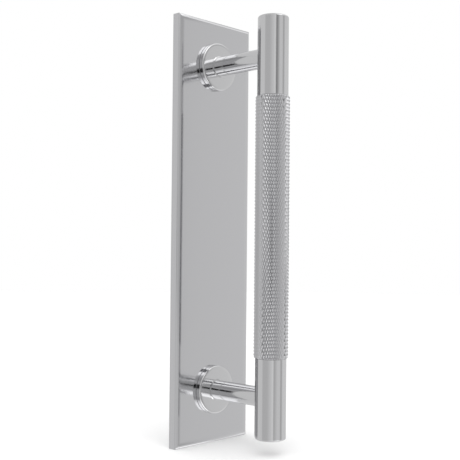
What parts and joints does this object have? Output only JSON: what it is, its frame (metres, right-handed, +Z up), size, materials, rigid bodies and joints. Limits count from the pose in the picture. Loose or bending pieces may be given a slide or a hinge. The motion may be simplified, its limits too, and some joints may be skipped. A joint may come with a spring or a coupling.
{
  "type": "pull handle",
  "caption": "Fixed bar pull handle with a diamond-knurled grip on round posts and roses, on a flat bevelled backplate, in polished chrome.",
  "frame": {"origin": "middle of the backplate's flat back face, which lies on the door", "axes": "+Z up along the bar and the plate, +Y into the door, +X across the plate; the bar stands off towards -Y"},
  "size_m": [0.05, 0.0504, 0.209],
  "materials": {
    "plate_chrome": "mirror polished chrome plate",
    "fitting_chrome": "mirror polished chrome plate",
    "knurl_chrome": "chrome plate over a diamond knurl",
    "plain_steel": "turned steel, zinc plated"
  },
  "bodies": {
    "root": {"backplate": "plate_chrome", "upper_rose": "fitting_chrome", "lower_rose": "fitting_chrome", "upper_post": "fitting_chrome", "lower_post": "fitting_chrome", "upper_bar_end": "fitting_chrome", "lower_bar_end": "fitting_chrome", "knurled_grip": "knurl_chrome", "core_rod": "plain_steel", "upper_post_stud": "plain_steel", "lower_post_stud": "plain_steel", "upper_lock_nut": "plain_steel", "lower_lock_nut": "plain_steel", "upper_washer": "plain_steel", "lower_washer": "plain_steel"}
  },
  "joints": []
}
